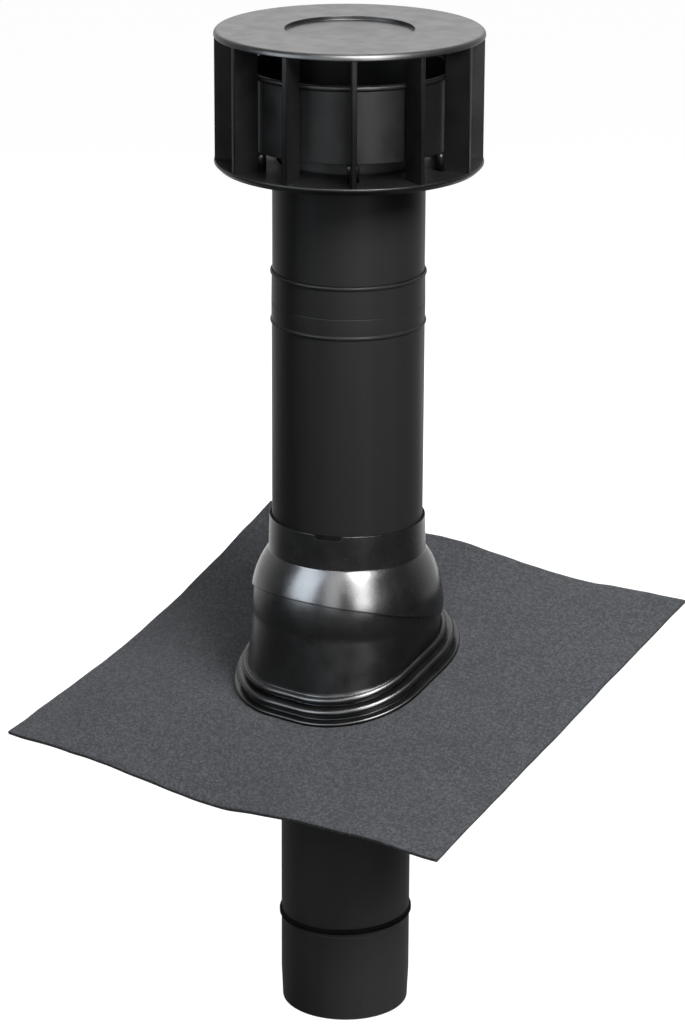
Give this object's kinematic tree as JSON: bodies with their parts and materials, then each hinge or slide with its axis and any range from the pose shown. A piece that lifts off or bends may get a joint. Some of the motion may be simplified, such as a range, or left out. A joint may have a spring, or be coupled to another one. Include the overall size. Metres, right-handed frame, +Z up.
{
  "type": "roof vent terminal",
  "caption": "Black plastic roof vent terminal with a finned rain cap on a pipe, a pitch-adjustable dome base on a flashing sheet, and a duct spigot below.",
  "frame": {"origin": "centre of the duct's open lower end, on the pipe's axis", "axes": "+Z up the pipe, +X along the eaves, +Y uphill"},
  "size_m": [0.438, 0.3684, 0.847],
  "materials": {
    "cap_plastic": "satin black, moulded",
    "pipe_plastic": "satin black, extruded",
    "dome_plastic": "glossy black, moulded",
    "seal_rubber": "matt black rubber",
    "bitumen_sheet": "dark grey mineral granules"
  },
  "bodies": {
    "terminal": {"cap_lid": "cap_plastic", "cap_cage": "cap_plastic", "wind_baffle": "cap_plastic", "neck_tube": "pipe_plastic", "outer_pipe": "pipe_plastic", "inner_pipe": "pipe_plastic", "upper_spacer": "pipe_plastic", "lower_spacer": "pipe_plastic", "spigot_seal": "seal_rubber", "collar_seal": "seal_rubber", "swivel_hood": "dome_plastic"},
    "flashing": {"base_shell": "dome_plastic", "flashing_sheet": "bitumen_sheet", "clamp_ring": "dome_plastic"}
  },
  "joints": [
    {"name": "pitch_swivel", "type": "hinge", "parent": "terminal", "child": "flashing", "pos_m": [0, 0, 0.364], "axis": [1, 0, 0], "range_deg": [-11.2, 1.8]}
  ]
}
